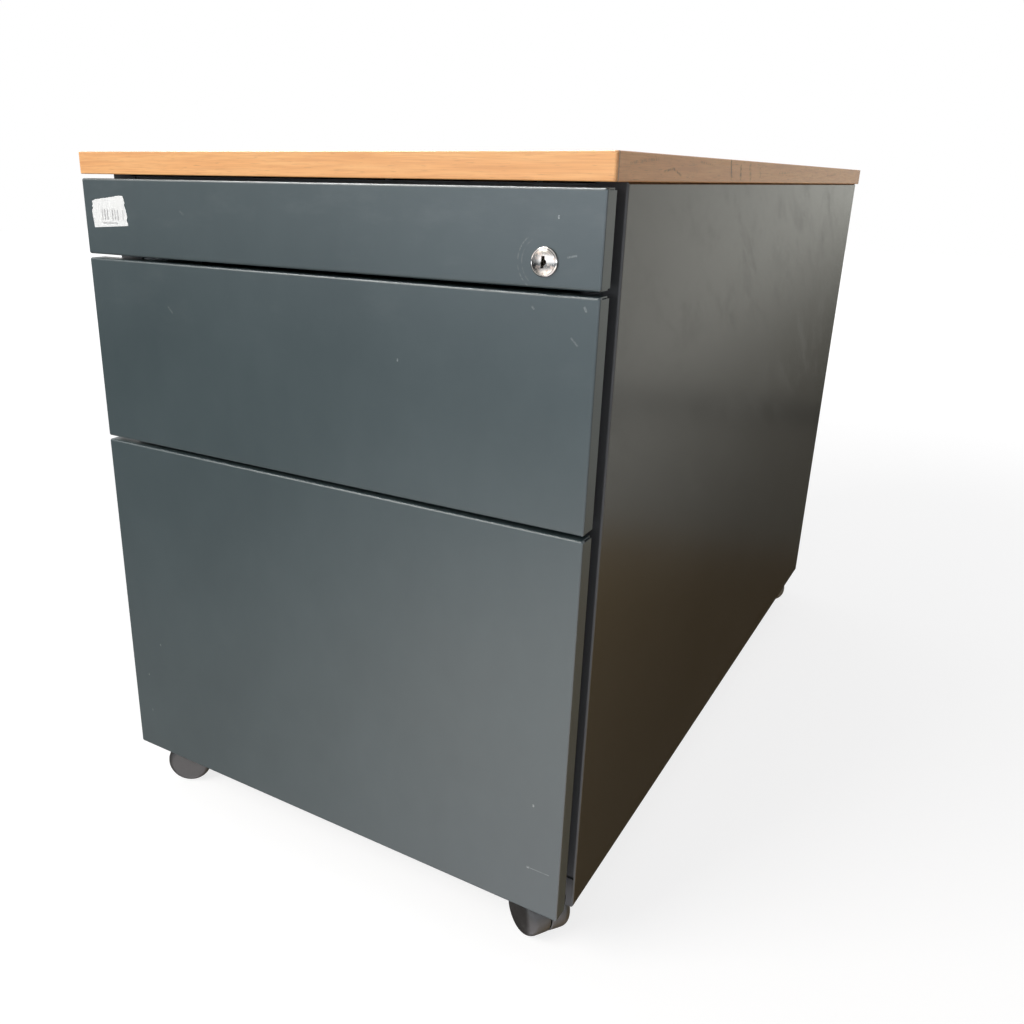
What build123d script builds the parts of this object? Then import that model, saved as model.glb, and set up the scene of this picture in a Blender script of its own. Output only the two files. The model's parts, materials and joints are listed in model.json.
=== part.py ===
from build123d import *
import os
from math import cos, hypot, radians, sin, sqrt

os.makedirs("parts", exist_ok=True)

# Rolling pedestal cabinet with three drawers. Millimetres, +Z up, fronts facing -Y.
# The origin is on the floor, under the middle of the cabinet.

# ---- overall sizes
WIDTH = 428.0              # across the side panels and the drawer fronts
DEPTH = 800.0              # from the fronts' faces to the rear panel
HEIGHT = 563.0             # from the floor to the top of the board

# ---- top board
BOARD_THICK = 16.0
BOARD_OVERHANG = 3.5       # beyond the side panels
BOARD_SETBACK = 2.0        # front edge behind the drawer fronts' faces
BAND_THICK = 2.0
BAND_EDGE_ROUND = 0.8
BAND_CORNER_ROUND = 1.9

# ---- sheet steel of the carcass
SHEET = 1.0
BEND = 1.6
FRONT_FLANGE = 25.0        # width of the side panel's front flange
TOP_FLANGE = 20.0
BOTTOM_FLANGE = 6.0
WELD_FLANGE = 16.0         # upright flanges welded to a neighbouring sheet
SKIRT = 16.0               # how far the side panels hang below the base plate
RAIL_WIDTH = 38.5          # the two rails under the top board
RAIL_LIP = 11.0
FOOT_RAIL_RISE = 10.0      # front foot rail above the base plate's underside
FOOT_RAIL_DROP = 6.0       # and below it
FOOT_RAIL_DEPTH = 19.5

# ---- drawer fronts
FRONT_DEPTH = 13.5
FRONT_GAP = 3.0            # between fronts, and under the top board
FRONT_DROP = 6.0           # lowest front below the base plate's underside
GRIP_GAP = 17.0            # finger gap between a front and the side panels
PENCIL_FRONT = 55.5
MIDDLE_FRONT = 144.0
FRONT_SIDE_LIP = 55.0
FRONT_END_LIP = 13.0
CORNER_NOTCH = 1.3

# ---- drawer boxes
BOX_SHEET = 1.0
BOX_RIM = 14.0             # inward rim along a box's sides
BOX_BACK_INSET = 55.0      # from the rear of the cabinet
PENCIL_BOX_LENGTH = 376.5
PENCIL_BOX_RAISE = 4.0
PENCIL_BOX_DROP = 12.0
MIDDLE_BOX_RAISE = 6.5
MIDDLE_BOX_DROP = 15.5
FILE_BOX_DROP = 38.5
FILE_BOX_CLEARANCE = 5.0   # above the counterweight
DIVIDER_HEIGHT = 92.0
DIVIDER_FOOT = 12.0
DIVIDER_PLACES = (-160.0, 90.0)
HANGING_RAIL_SET_IN = 11.0  # rail centre inside the box's side
HANGING_RAIL = (2.0, 12.0)  # thickness, height
HANGING_RAIL_INSET = 16.0

# ---- pencil tray insert
TRAY_DEPTH = 82.0
TRAY_HEIGHT = 22.0
TRAY_WALL = 2.0
TRAY_SPLITS = (0.62, 0.81)  # places of the two cross walls along the tray
TRAY_FRONT_SPACE = 4.0

# ---- telescopic slides
SLIDE_THICK = 12.7
SLIDE_SHEET = 1.2
SLIDE_SETBACK = 19.5       # slide ends behind the side panels' front edge
SLIDE_TO_BACK = 50.0
SLIDE_HEIGHT = 45.0
BALL_GAP = 1.8
SLIDE_CLEARANCE = 0.3
PENCIL_SLIDE_HEIGHT = 17.0
PENCIL_SLIDE_LENGTH = 350.0
FILE_SLIDE_RAISE = 26.0    # slide centre above the box floor
MIDDLE_SLIDE_RAISE = 37.0
POST_WIDTH = 30.0
POST_FOOT = 12.0
POST_SHEET = 1.2
POST_SETBACK = 34.5        # front posts behind the side panels' front edge

# ---- screws
SCREW_R = 2.0
SCREW_HEAD_R = 4.0
SCREW_HEAD = 2.2
CASTOR_SCREW_HEAD_R = 3.0
SCREW_EDGE = 0.5           # screw heads clear of a box floor
PENCIL_SCREW_INSET = 26.0  # outermost screws inside the box's sides
SCREW_END_INSET = 16.0     # screws from the floor and rim of a deep box
BOARD_SCREW_BITE = 10.0

# ---- lock
LOCK_INSET = 35.5          # lock centre from the right edge
LOCK_RISE = 14.8           # lock centre above the pencil front's bottom edge
BEZEL_R = 8.6
BEZEL_PROUD = 2.2
HOUSING_R = 8.0
HOUSING_LENGTH = 28.0
CORE_R = 6.5
CORE_PROUD = 2.4
RUNNING_CLEARANCE = 0.05
HOLE_CLEARANCE = 0.1
KEYWAY = (1.4, 7.0, 14.0)  # width, height, depth
NUT_R = 11.5
NUT_THICK = 4.0
CAM_THICK = 1.5
CAM_R = 9.5
CAM_TONGUE = (8.0, 14.0)   # width, reach from the lock's axis
CAM_SETBACK = 1.0          # behind the side panel's front flange
CRANK_R = 7.0
CRANK_PIN_R = 1.5
SPIGOT = 5.0
NOTCH_CLEARANCE = 12.5     # pocket in the pencil box round the lock

# ---- locking bar
BAR_THICK = 1.5
BAR_WIDTH = 12.0
BAR_SETBACK = 6.0          # bar behind the side panel's front edge
BAR_SIDE_GAP = 1.3         # bar beside the slides
BAR_SLOT_CLEARANCE = 0.45
BAR_FOOT = 60.0            # bar's end below the lowest catch
CATCH_R = 2.5
CATCH_REACH = 11.0
CATCH_GAP = 1.5            # catch pin behind its hook
CATCH_UNDER = 2.0          # hook under its pin while unlocked
HOOK_HEIGHT = 12.0
HOOK_GAP = 3.0             # hooks beside the drawer boxes
FILE_CATCH_DROP = 50.0
MIDDLE_CATCH_DROP = 30.0
GUIDE_HEIGHT = 20.0
GUIDE_LIP = 2.0
GUIDE_CLEARANCE = 0.5

# ---- counterweight
COUNTERWEIGHT = (300.0, 135.0, 18.0)
COUNTERWEIGHT_INSET = 15.0

# ---- castors
WHEEL_R = 20.0
WHEEL_WIDTH = 16.0
WHEEL_ROUND = 5.5          # outer shoulder of a wheel
WHEEL_INNER_ROUND = 1.0
TRAIL = 20.0               # axle behind the kingpin
SWIVEL_SPACE = 10.0        # base plate above the wheels
HOOD_WALL = 1.6
HOOD_CLEARANCE = 0.7
WEB = 4.8
WEB_R = 13.0
WHEEL_GAP = 0.5
HUB_R = 8.0
KINGPIN_R = 4.0
AXLE_R = 2.5
PLATE_THICK = 2.5
PLATE_CLEARANCE = 0.55     # castor plates beside the foot rail
PLATE_HOLE_INSET = 4.5
PLATE_CORNER = 4.0
BOSS_INSET = 6.0           # kingpin boss inside the plate's edge
BOSS_GAP = 0.3
KINGPIN_DROP = 3.5         # kingpin end below the wheels' tops
BORE_DEEPER = 0.5
AXLE_SHORT = 3.0           # axle ends inside the wheels' outer faces
CASTOR_CLEARANCE = 0.4
CASTOR_HEADINGS = {
    "front_left": -150.0,
    "front_right": -34.0,
    "rear_left": -160.0,
    "rear_right": -22.0,
}

# ---- blank sticker on the pencil front
LABEL = (38.2, 21.8, 0.15)
LABEL_PLACE = (28.0, 23.6)  # centre from the front's left and top edges
LABEL_TILT = 3.4

# ---- levels and planes worked out from the sizes
HALF = WIDTH / 2
FRONT_Y = -DEPTH / 2
REAR_Y = DEPTH / 2
BOARD_Z = HEIGHT - BOARD_THICK
BOARD_HALF = HALF + BOARD_OVERHANG
BOARD_FRONT = FRONT_Y + BOARD_SETBACK
CASTOR_HEIGHT = 2 * WHEEL_R + SWIVEL_SPACE
PANEL_Z = CASTOR_HEIGHT - SKIRT
BASE_TOP = CASTOR_HEIGHT + SHEET
PENCIL_TOP = BOARD_Z - FRONT_GAP
PENCIL_Z = PENCIL_TOP - PENCIL_FRONT
MIDDLE_TOP = PENCIL_Z - FRONT_GAP
MIDDLE_Z = MIDDLE_TOP - MIDDLE_FRONT
FILE_TOP = MIDDLE_Z - FRONT_GAP
FILE_Z = CASTOR_HEIGHT - FRONT_DROP
FRONT_BACK = FRONT_Y + FRONT_DEPTH
PANEL_Y = FRONT_BACK + GRIP_GAP
FLANGE_X = HALF - FRONT_FLANGE
FLANGE_BACK = PANEL_Y + SHEET
FOOT_RAIL_Z = CASTOR_HEIGHT - FOOT_RAIL_DROP
RAIL_Z = BOARD_Z - 2 * SHEET
POST_X = FLANGE_X - SLIDE_CLEARANCE
BOX_HALF = POST_X - SLIDE_THICK
BOX_BACK = REAR_Y - BOX_BACK_INSET
SLIDE_FRONT = PANEL_Y + SLIDE_SETBACK
SLIDE_BACK = REAR_Y - SLIDE_TO_BACK
PENCIL_SLIDE_BACK = SLIDE_FRONT + PENCIL_SLIDE_LENGTH
PENCIL_FLOOR = PENCIL_Z + PENCIL_BOX_RAISE
PENCIL_RIM = PENCIL_TOP - PENCIL_BOX_DROP
PENCIL_BACK = FRONT_BACK + PENCIL_BOX_LENGTH
MIDDLE_FLOOR = MIDDLE_Z + MIDDLE_BOX_RAISE
MIDDLE_RIM = MIDDLE_TOP - MIDDLE_BOX_DROP
FILE_FLOOR = BASE_TOP + COUNTERWEIGHT[2] + FILE_BOX_CLEARANCE
FILE_RIM = FILE_TOP - FILE_BOX_DROP
PENCIL_SLIDE_Z = PENCIL_RIM - PENCIL_SLIDE_HEIGHT / 2 - BOX_SHEET / 2
MIDDLE_SLIDE_Z = MIDDLE_FLOOR + MIDDLE_SLIDE_RAISE
FILE_SLIDE_Z = FILE_FLOOR + FILE_SLIDE_RAISE
LOCK_X = HALF - LOCK_INSET
LOCK_Z = PENCIL_Z + LOCK_RISE
CAM_Y = FLANGE_BACK + CAM_SETBACK
CRANK_X = LOCK_X + CRANK_R * cos(radians(45))
CRANK_Z = LOCK_Z - CRANK_R * sin(radians(45))
BAR_X = POST_X + BAR_SIDE_GAP
BAR_Y = PANEL_Y + BAR_SETBACK
CATCH_Y = BAR_Y + BAR_THICK + CATCH_GAP + CATCH_R
FILE_CATCH_Z = FILE_RIM - FILE_CATCH_DROP
MIDDLE_CATCH_Z = MIDDLE_RIM - MIDDLE_CATCH_DROP
HOOK_DROP = CATCH_R + CATCH_UNDER
CASTOR_HALF = WEB / 2 + WHEEL_GAP + WHEEL_WIDTH
SWEEP = hypot(TRAIL + sqrt(WHEEL_R**2 - (PANEL_Z - WHEEL_R) ** 2), CASTOR_HALF)
STEM_INSET = BOTTOM_FLANGE + CASTOR_CLEARANCE + SWEEP
STEM_X = HALF - STEM_INSET
STEM_Y = DEPTH / 2 - STEM_INSET
PLATE_HALF = -PANEL_Y - STEM_Y - PLATE_CLEARANCE
PLATE_HOLE = PLATE_HALF - PLATE_HOLE_INSET
BOSS_R = PLATE_HALF - BOSS_INSET
HUB_TOP = 2 * WHEEL_R + SWIVEL_SPACE / 2
PLATE_Z = CASTOR_HEIGHT - PLATE_THICK
KINGPIN_Z = 2 * WHEEL_R - KINGPIN_DROP


# ---- helpers
def block(x, y, z):
    """A box between two places on each axis, in either order."""
    size = [abs(b - a) for a, b in (x, y, z)]
    centre = [(a + b) / 2 for a, b in (x, y, z)]
    return Pos(*centre) * Box(*size)


def rod_x(x, y, z, radius):
    """A round bar along X, from x[0] to x[1]."""
    return Pos((x[0] + x[1]) / 2, y, z) * Rot(0, 90, 0) * Cylinder(radius, abs(x[1] - x[0]))


def rod_y(x, y, z, radius):
    """A round bar along Y, from y[0] to y[1]."""
    return Pos(x, (y[0] + y[1]) / 2, z) * Rot(90, 0, 0) * Cylinder(radius, abs(y[1] - y[0]))


def rod_z(x, y, z, radius):
    """A round bar along Z, from z[0] to z[1]."""
    return Pos(x, y, (z[0] + z[1]) / 2) * Cylinder(radius, abs(z[1] - z[0]))


def left_of(shape):
    """The left-hand copy of a right-hand piece."""
    return mirror(shape, about=Plane.YZ)


def both_sides(shape):
    """A right-hand piece and its left-hand copy, as two solids of one node."""
    return Compound([shape, left_of(shape)])


# ---- top board and its edge bands
BOARD_SCREW_PLACES = [
    (side * (HALF - TOP_FLANGE / 2), y, under)
    for side in (-1, 1)
    for y, under in (
        (FLANGE_BACK + RAIL_WIDTH / 2, RAIL_Z),
        (0.0, RAIL_Z + SHEET),
        (REAR_Y - SHEET - RAIL_WIDTH / 2, RAIL_Z),
    )
]


def top_board():
    board = block(
        (-BOARD_HALF + BAND_THICK, BOARD_HALF - BAND_THICK),
        (BOARD_FRONT + BAND_THICK, REAR_Y - BAND_THICK),
        (BOARD_Z, HEIGHT),
    )
    for x, y, _ in BOARD_SCREW_PLACES:
        board -= rod_z(x, y, (BOARD_Z - 1, BOARD_Z + BOARD_SCREW_BITE), SCREW_R)
    return board


def end_band(outer, inner):
    """A band across the board's front or rear, with rounded upright corners."""
    band = block((-BOARD_HALF, BOARD_HALF), (outer, inner), (BOARD_Z, HEIGHT))
    outer_face = band.faces().sort_by(Axis.Y)[0 if outer < inner else -1]
    upright = outer_face.edges().filter_by(Axis.Z)
    band = fillet(upright, BAND_CORNER_ROUND)
    outer_face = band.faces().filter_by(Plane.XZ).sort_by(Axis.Y)[0 if outer < inner else -1]
    return fillet(outer_face.edges().filter_by(Axis.X), BAND_EDGE_ROUND)


def side_band():
    span = (BOARD_FRONT + BAND_THICK, REAR_Y - BAND_THICK)
    band = block((BOARD_HALF - BAND_THICK, BOARD_HALF), span, (BOARD_Z, HEIGHT))
    return fillet(band.faces().sort_by(Axis.X)[-1].edges().filter_by(Axis.Y), BAND_EDGE_ROUND)


def board_screws():
    screws = []
    for x, y, under in BOARD_SCREW_PLACES:
        shank = rod_z(x, y, (under, BOARD_Z + BOARD_SCREW_BITE), SCREW_R)
        screws.append(shank + rod_z(x, y, (under - SCREW_HEAD, under), SCREW_HEAD_R))
    return Compound(screws)


# ---- carcass
def side_panel():
    """The right-hand side panel: a skin with flanges folded inward at front, top and bottom."""
    outer = block((HALF - FRONT_FLANGE, HALF), (PANEL_Y, REAR_Y), (PANEL_Z, BOARD_Z))
    side = outer.faces().sort_by(Axis.X)[-1]
    folded = [e for e in side.edges() if e.center().Y < REAR_Y - SHEET]
    panel = fillet(folded, BEND)
    panel -= block((0, HALF - SHEET), (PANEL_Y + SHEET, REAR_Y + 1), (PANEL_Z + SHEET, BOARD_Z - SHEET))
    panel -= block((0, HALF - TOP_FLANGE), (PANEL_Y + SHEET, REAR_Y + 1), (PANEL_Z - 1, HEIGHT))
    panel -= block((0, HALF - TOP_FLANGE), (PANEL_Y - 1, REAR_Y + 1), (BOARD_Z - SHEET, HEIGHT))
    panel -= block((0, HALF - BOTTOM_FLANGE), (PANEL_Y - 1, REAR_Y + 1), (0, FOOT_RAIL_Z))
    for x, y, _ in BOARD_SCREW_PLACES:
        panel -= rod_z(x, y, (RAIL_Z, HEIGHT), SCREW_R)
    return panel


def rear_panel():
    inner = HALF - SHEET
    face = (REAR_Y - SHEET, REAR_Y)
    panel = block((-inner, inner), face, (PANEL_Z + SHEET, BOARD_Z - SHEET))
    panel += block((-HALF + TOP_FLANGE, HALF - TOP_FLANGE), face, (PANEL_Z, BOARD_Z))
    lip = HALF - BOTTOM_FLANGE - SHEET
    panel += block((-lip, lip), (REAR_Y - BOTTOM_FLANGE, REAR_Y), (PANEL_Z, PANEL_Z + SHEET))
    wing = block(
        (inner - SHEET, inner),
        (REAR_Y - WELD_FLANGE, REAR_Y),
        (CASTOR_HEIGHT + WELD_FLANGE, RAIL_Z),
    )
    return panel + wing + left_of(wing)


def base_plate():
    inner = HALF - SHEET
    span = (FLANGE_BACK, REAR_Y - SHEET)
    plate = block((-inner, inner), span, (CASTOR_HEIGHT, BASE_TOP))
    wing = block((inner - SHEET, inner), span, (CASTOR_HEIGHT, CASTOR_HEIGHT + WELD_FLANGE))
    plate += wing + left_of(wing)
    for x, y in castor_screw_places():
        plate -= rod_z(x, y, (CASTOR_HEIGHT - 1, BASE_TOP + 1), SCREW_R)
    return plate


def foot_rail():
    """The angle along the base plate's front edge, in front of the side panels' flanges."""
    inner = HALF - SHEET
    upright = block(
        (-inner, inner),
        (PANEL_Y - SHEET, PANEL_Y),
        (FOOT_RAIL_Z, CASTOR_HEIGHT + FOOT_RAIL_RISE),
    )
    leg = block(
        (-FLANGE_X + 1, FLANGE_X - 1),
        (PANEL_Y - SHEET, PANEL_Y + FOOT_RAIL_DEPTH),
        (BASE_TOP, BASE_TOP + SHEET),
    )
    return upright + leg


def top_rail(front, back):
    """A cross rail under the top flanges, with a lip folded down along both edges."""
    inner = HALF - SHEET
    rail = block((-inner, inner), (front, back), (RAIL_Z, RAIL_Z + SHEET))
    lip = FLANGE_X - 1
    for edge, step in ((front, SHEET), (back, -SHEET)):
        rail += block((-lip, lip), (edge, edge + step), (RAIL_Z + SHEET - RAIL_LIP, RAIL_Z + SHEET))
    for x, y, _ in BOARD_SCREW_PLACES:
        rail -= rod_z(x, y, (RAIL_Z - 1, BOARD_Z), SCREW_R)
    return rail


def slide_posts():
    """Six hat-section posts that carry the slides, three on each side."""
    height = (CASTOR_HEIGHT + WELD_FLANGE, RAIL_Z + SHEET - RAIL_LIP - 1)
    starts = (PANEL_Y + POST_SETBACK, PENCIL_SLIDE_BACK - POST_WIDTH, SLIDE_BACK - POST_WIDTH)
    posts = []
    for start in starts:
        end = start + POST_WIDTH
        post = block((POST_X, POST_X + POST_SHEET), (start, end), height)
        for edge, step in ((start, 1), (end, -1)):
            post += block((POST_X, HALF - SHEET), (edge, edge + step * POST_SHEET), height)
            foot = (edge + step * POST_SHEET, edge - step * POST_FOOT)
            post += block((HALF - SHEET - POST_SHEET, HALF - SHEET), foot, height)
        posts += [post, left_of(post)]
    return Compound(posts)


def counterweight():
    width, depth, thick = COUNTERWEIGHT
    back = REAR_Y - COUNTERWEIGHT_INSET
    slab = block((-width / 2, width / 2), (back - depth, back), (BASE_TOP, BASE_TOP + thick))
    return chamfer(slab.faces().sort_by(Axis.Z)[-1].edges(), SHEET)


# ---- drawers
def boxed_front(bottom, top):
    """A sheet steel front folded back all round, with wide lips behind its two ends."""
    outer = block((-HALF, HALF), (FRONT_Y, FRONT_BACK), (bottom, top))
    edges = outer.faces().sort_by(Axis.Y)[0].edges() + outer.edges().filter_by(Axis.Y)
    front = fillet(edges, BEND)
    front -= block(
        (-HALF + SHEET, HALF - SHEET),
        (FRONT_Y + SHEET, FRONT_BACK - SHEET),
        (bottom + SHEET, top - SHEET),
    )
    front -= block(
        (-HALF + FRONT_SIDE_LIP, HALF - FRONT_SIDE_LIP),
        (FRONT_BACK - 2 * SHEET, FRONT_BACK + 1),
        (bottom + FRONT_END_LIP, top - FRONT_END_LIP),
    )
    for side in (-1, 1):
        for z, step in ((bottom, 1), (top, -1)):
            corner = (side * HALF, side * (HALF - CORNER_NOTCH))
            front -= block(corner, (FRONT_Y + 2 * BEND, FRONT_BACK + 1), (z, z + step * CORNER_NOTCH))
    return front


def front_screws(places):
    """Screws from inside the box, through its front wall and the front's lips."""
    wall = FRONT_BACK + BOX_SHEET
    screws = []
    for x, z in places:
        shank = rod_y(x, (FRONT_BACK - 2 * SHEET, wall), z, SCREW_R)
        screws.append(shank + rod_y(x, (wall, wall + SCREW_HEAD), z, SCREW_HEAD_R))
    return Compound(screws)


def drill(piece, places):
    """The front screws' holes."""
    for x, z in places:
        piece -= rod_y(x, (FRONT_BACK - SHEET, FRONT_BACK + BOX_SHEET), z, SCREW_R)
    return piece


def drawer_box(floor, rim, back, places):
    """An open steel box with a rim folded inward along both sides."""
    inner = BOX_HALF - BOX_SHEET
    box = block((-BOX_HALF, BOX_HALF), (FRONT_BACK, back), (floor, rim))
    box -= block((-inner, inner), (FRONT_BACK + BOX_SHEET, back - BOX_SHEET), (floor + BOX_SHEET, rim + 1))
    for side in (-1, 1):
        lip = (side * inner, side * (BOX_HALF - BOX_RIM))
        box += block(lip, (FRONT_BACK + BOX_SHEET, back - BOX_SHEET), (rim - BOX_SHEET, rim))
    return drill(box, places)


def catch_pin(z):
    """The stud welded to a box's right side, which the locking bar holds."""
    return rod_x((BOX_HALF - BOX_SHEET / 2, BOX_HALF + CATCH_REACH), CATCH_Y, z, CATCH_R)


PENCIL_SCREW_Z = PENCIL_FLOOR + BOX_SHEET + SCREW_HEAD_R + SCREW_EDGE
PENCIL_SCREW_REACH = BOX_HALF - PENCIL_SCREW_INSET
PENCIL_SCREWS = [(PENCIL_SCREW_REACH * share, PENCIL_SCREW_Z) for share in (-1, -1 / 3, 1 / 3, 1)]
SCREW_COLUMN = BOX_HALF - BOX_SHEET - 2 * SCREW_HEAD_R
MIDDLE_SCREWS = [
    (side * SCREW_COLUMN, z)
    for side in (-1, 1)
    for z in (MIDDLE_FLOOR + SCREW_END_INSET, MIDDLE_RIM - SCREW_END_INSET)
]
FILE_SCREWS = [
    (side * SCREW_COLUMN, z)
    for side in (-1, 1)
    for z in (FILE_FLOOR + SCREW_END_INSET, (FILE_FLOOR + FILE_RIM) / 2, FILE_RIM - SCREW_END_INSET)
]


def pencil_front():
    front = boxed_front(PENCIL_Z, PENCIL_TOP)
    front -= rod_y(LOCK_X, (FRONT_Y - 1, FRONT_BACK + 1), LOCK_Z, HOUSING_R + HOLE_CLEARANCE)
    return drill(front, PENCIL_SCREWS)


def pencil_box():
    """A shallow box with a pocket in its right front corner for the lock."""
    side = LOCK_X - NOTCH_CLEARANCE
    behind = SLIDE_FRONT
    box = block((-BOX_HALF, BOX_HALF), (FRONT_BACK, PENCIL_BACK), (PENCIL_FLOOR, PENCIL_RIM))
    box -= block((side, BOX_HALF + 1), (FRONT_BACK - 1, behind), (PENCIL_FLOOR - 1, PENCIL_RIM + 1))
    height = (PENCIL_FLOOR + BOX_SHEET, PENCIL_RIM + 1)
    front_room = block(
        (-BOX_HALF + BOX_SHEET, side - BOX_SHEET),
        (FRONT_BACK + BOX_SHEET, behind + BOX_SHEET + 1),
        height,
    )
    rear_room = block(
        (-BOX_HALF + BOX_SHEET, BOX_HALF - BOX_SHEET),
        (behind + BOX_SHEET, PENCIL_BACK - BOX_SHEET),
        height,
    )
    return drill(box - front_room - rear_room, PENCIL_SCREWS)


def pencil_tray():
    """A moulded insert with three compartments."""
    left = -BOX_HALF + BOX_SHEET
    right = LOCK_X - NOTCH_CLEARANCE - BOX_SHEET
    front = FRONT_BACK + TRAY_FRONT_SPACE
    back = front + TRAY_DEPTH
    floor = PENCIL_FLOOR + BOX_SHEET
    tray = block((left, right), (front, back), (floor, floor + TRAY_HEIGHT))
    splits = [left + (right - left) * share for share in TRAY_SPLITS]
    starts = [left + TRAY_WALL / 2] + splits
    ends = splits + [right - TRAY_WALL / 2]
    for start, end in zip(starts, ends):
        room = block(
            (start + TRAY_WALL / 2, end - TRAY_WALL / 2),
            (front + TRAY_WALL, back - TRAY_WALL),
            (floor + TRAY_WALL, floor + TRAY_HEIGHT + TRAY_WALL),
        )
        tray -= fillet(room.edges().filter_by(Axis.Z), 3 * TRAY_WALL)
    return tray


def middle_dividers():
    inner = BOX_HALF - BOX_SHEET
    floor = MIDDLE_FLOOR + BOX_SHEET
    dividers = []
    for y in DIVIDER_PLACES:
        sheet = block((-inner, inner), (y, y + BOX_SHEET), (floor, floor + DIVIDER_HEIGHT))
        sheet += block((-inner, inner), (y, y + DIVIDER_FOOT), (floor, floor + BOX_SHEET))
        dividers.append(sheet)
    return Compound(dividers)


def hanging_rails():
    """Two flat bars on the file box's rims, for hanging files."""
    thick, height = HANGING_RAIL
    x = BOX_HALF - HANGING_RAIL_SET_IN
    rail = block(
        (x - thick / 2, x + thick / 2),
        (FRONT_BACK + HANGING_RAIL_INSET, BOX_BACK - HANGING_RAIL_INSET),
        (FILE_RIM, FILE_RIM + height),
    )
    return both_sides(rail)


def label():
    width, height, thick = LABEL
    sheet = Box(width, thick, height)
    x = -HALF + LABEL_PLACE[0]
    z = PENCIL_TOP - LABEL_PLACE[1]
    return Pos(x, FRONT_Y - thick / 2, z) * Rot(0, -LABEL_TILT, 0) * sheet


# ---- slides
def channel(web, lips, half_height, thick, ends, level):
    """A C-channel along Y: web and lips are distances out from the drawer's side."""
    web_side = (BOX_HALF + web[0], BOX_HALF + web[1])
    lip_side = (BOX_HALF + lips[0], BOX_HALF + lips[1])
    member = block(web_side, ends, (level - half_height, level + half_height))
    for step in (-1, 1):
        edge = level + step * half_height
        member += block(lip_side, ends, (edge, edge - step * thick))
    return both_sides(member)


def cabinet_member(height, ends, level):
    web = (SLIDE_THICK - SLIDE_SHEET, SLIDE_THICK)
    return channel(web, (3 * SLIDE_SHEET, SLIDE_THICK), height / 2, SLIDE_SHEET, ends, level)


def middle_member(ends, level):
    half = SLIDE_HEIGHT / 2 - SLIDE_SHEET - BALL_GAP
    outer = SLIDE_THICK - SLIDE_SHEET - 1
    return channel((outer - SLIDE_SHEET, outer), (3 * SLIDE_SHEET, outer), half, SLIDE_SHEET, ends, level)


def drawer_member(half, reach, ends, level):
    return channel((0, SLIDE_SHEET), (0, reach), half, SLIDE_SHEET, ends, level)


# ---- lock and locking bar
def lock_housing():
    bezel = rod_y(LOCK_X, (FRONT_Y - BEZEL_PROUD, FRONT_Y), LOCK_Z, BEZEL_R)
    bezel = fillet(bezel.faces().sort_by(Axis.Y)[0].edges(), BEZEL_PROUD * 0.7)
    barrel = rod_y(LOCK_X, (FRONT_Y, FRONT_Y + HOUSING_LENGTH), LOCK_Z, HOUSING_R)
    bore_ends = (FRONT_Y - BEZEL_PROUD - 1, FRONT_Y + HOUSING_LENGTH + 1)
    return bezel + barrel - rod_y(LOCK_X, bore_ends, LOCK_Z, CORE_R + RUNNING_CLEARANCE)


def lock_nut():
    nut = extrude(RegularPolygon(NUT_R, 6), NUT_THICK)
    nut = Pos(LOCK_X, FRONT_BACK + NUT_THICK, LOCK_Z) * Rot(90, 0, 0) * nut
    return nut - rod_y(LOCK_X, (FRONT_BACK - 1, FRONT_BACK + NUT_THICK + 1), LOCK_Z, HOUSING_R)


def lock_core():
    face = FRONT_Y - CORE_PROUD
    core = rod_y(LOCK_X, (face, CAM_Y), LOCK_Z, CORE_R)
    core = fillet(core.faces().sort_by(Axis.Y)[0].edges(), 0.4)
    width, height, depth = KEYWAY
    core -= block(
        (LOCK_X - width / 2, LOCK_X + width / 2),
        (face - 1, face + depth),
        (LOCK_Z - height / 2, LOCK_Z + height / 2),
    )
    half = SPIGOT / 2
    spigot = block((LOCK_X - half, LOCK_X + half), (CAM_Y, CAM_Y + CAM_THICK), (LOCK_Z - half, LOCK_Z + half))
    return core + spigot


def lock_cam():
    """The cam on the core: a tongue that swings behind the flange, and a crank pin for the bar."""
    ends = (CAM_Y, CAM_Y + CAM_THICK)
    width, reach = CAM_TONGUE
    cam = rod_y(LOCK_X, ends, LOCK_Z, CAM_R)
    cam += block((LOCK_X - width / 2, LOCK_X + width / 2), ends, (LOCK_Z - reach, LOCK_Z))
    half = SPIGOT / 2
    cam -= block((LOCK_X - half, LOCK_X + half), (CAM_Y - 1, ends[1] + 1), (LOCK_Z - half, LOCK_Z + half))
    pin_end = BAR_Y + BAR_THICK + CRANK_PIN_R
    return cam + rod_y(CRANK_X, (ends[0], pin_end), CRANK_Z, CRANK_PIN_R)


def lock_bar():
    """An upright bar with a hook for each catch pin and a slotted head for the crank pin."""
    plate_y = (BAR_Y, BAR_Y + BAR_THICK)
    inner = BOX_HALF + HOOK_GAP
    head_half = CRANK_PIN_R + BAR_SLOT_CLEARANCE + 2
    low = FILE_CATCH_Z - BAR_FOOT
    bar = block((BAR_X, BAR_X + BAR_THICK), (BAR_Y, BAR_Y + BAR_WIDTH), (low, CRANK_Z + head_half))
    bar += block((inner, BAR_X + BAR_THICK), plate_y, (CRANK_Z - head_half, CRANK_Z + head_half))
    for catch in (FILE_CATCH_Z, MIDDLE_CATCH_Z):
        top = catch - HOOK_DROP
        bar += block((inner, BAR_X + BAR_THICK), plate_y, (top - HOOK_HEIGHT, top))
    swing = CRANK_R - (CRANK_X - LOCK_X)
    slot_half = CRANK_PIN_R + BAR_SLOT_CLEARANCE
    slot = block(
        (CRANK_X - slot_half, CRANK_X + swing + slot_half),
        (BAR_Y - 1, BAR_Y + BAR_THICK + 1),
        (CRANK_Z - slot_half, CRANK_Z + slot_half),
    )
    return bar - slot


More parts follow.
